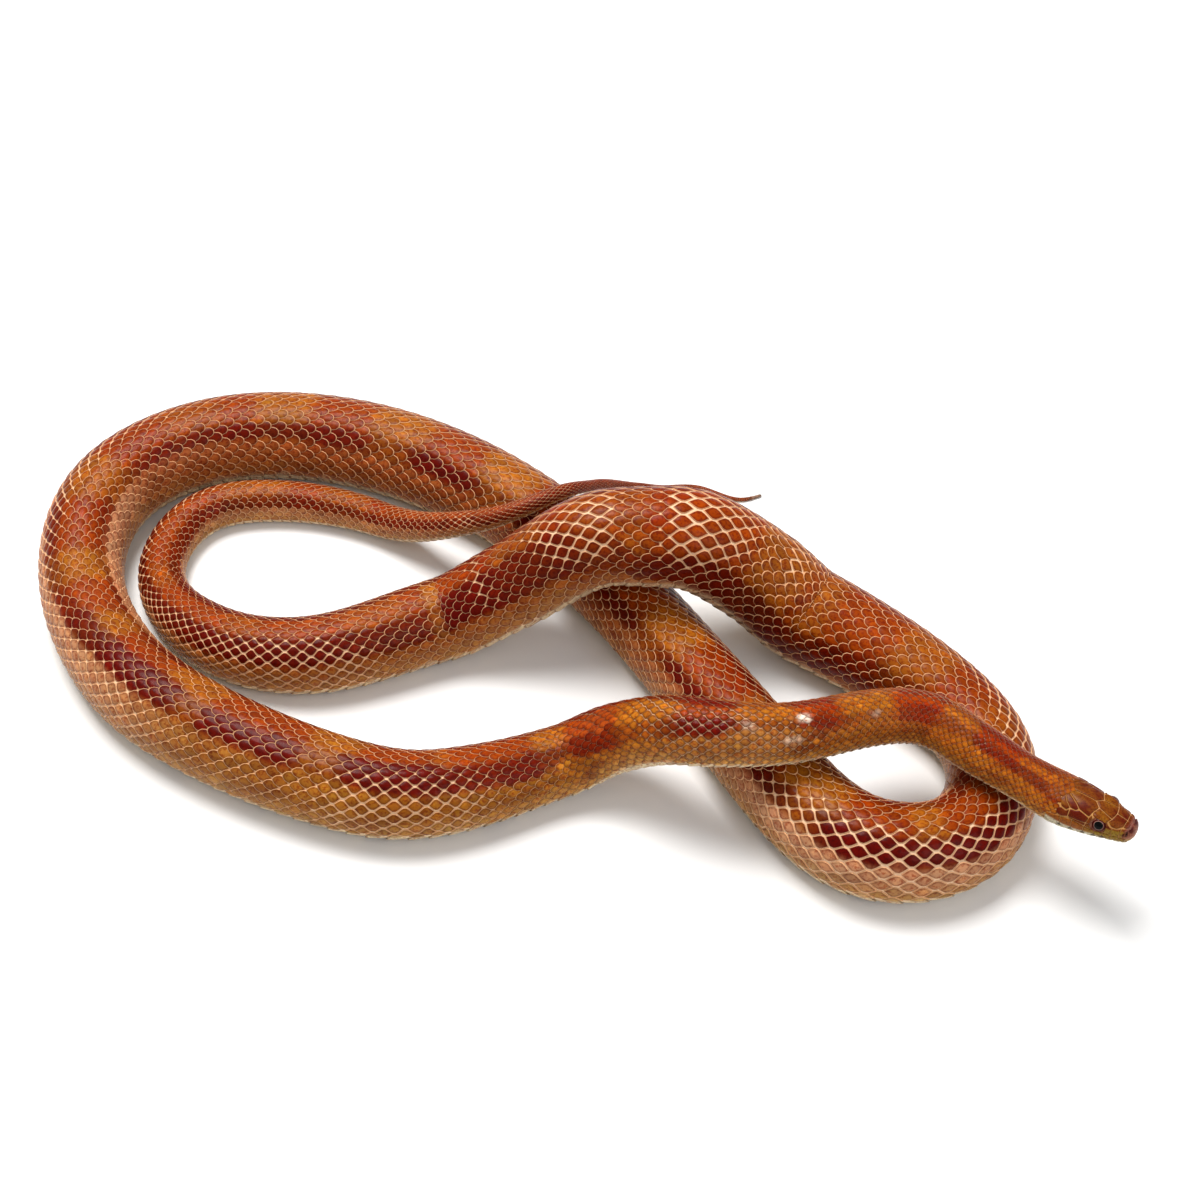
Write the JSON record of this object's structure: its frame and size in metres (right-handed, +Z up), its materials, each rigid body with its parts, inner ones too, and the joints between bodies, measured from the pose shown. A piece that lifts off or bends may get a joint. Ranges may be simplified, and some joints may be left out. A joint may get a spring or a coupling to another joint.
{
  "type": "corn snake",
  "caption": "Still, life-size corn snake lying in loose coils on its belly, its neck and head resting over one loop and its tail laid over the trunk.",
  "frame": {"origin": "On the floor under the middle of the outline seen from above; the belly rests on z = 0.", "axes": "+X runs along the longest side of the coils toward the head's end, +Y away from the side that the head's right eye faces, +Z up."},
  "size_m": [0.2842, 0.1734, 0.0486],
  "materials": {
    "skin": "smooth overlapping scales, rust red saddles on orange tan, satin sheen",
    "jaw": "cream and olive yellow lip and throat scales, satin",
    "eye": "dark red-brown iris with a round black pupil under a clear glossy scale"
  },
  "bodies": {
    "root": {"head": "skin", "lower_jaw": "jaw", "eye_right": "eye", "eye_left": "eye", "neck_1": "skin", "neck_2": "skin", "body_01": "skin", "body_02": "skin", "body_03": "skin", "body_04": "skin", "body_05": "skin", "body_06": "skin", "body_07": "skin", "body_08": "skin", "body_09": "skin", "body_10": "skin", "body_11": "skin", "body_12": "skin", "body_13": "skin", "body_14": "skin", "tail_1": "skin", "tail_2": "skin", "tail_3": "skin", "tail_tip": "skin"}
  },
  "joints": []
}
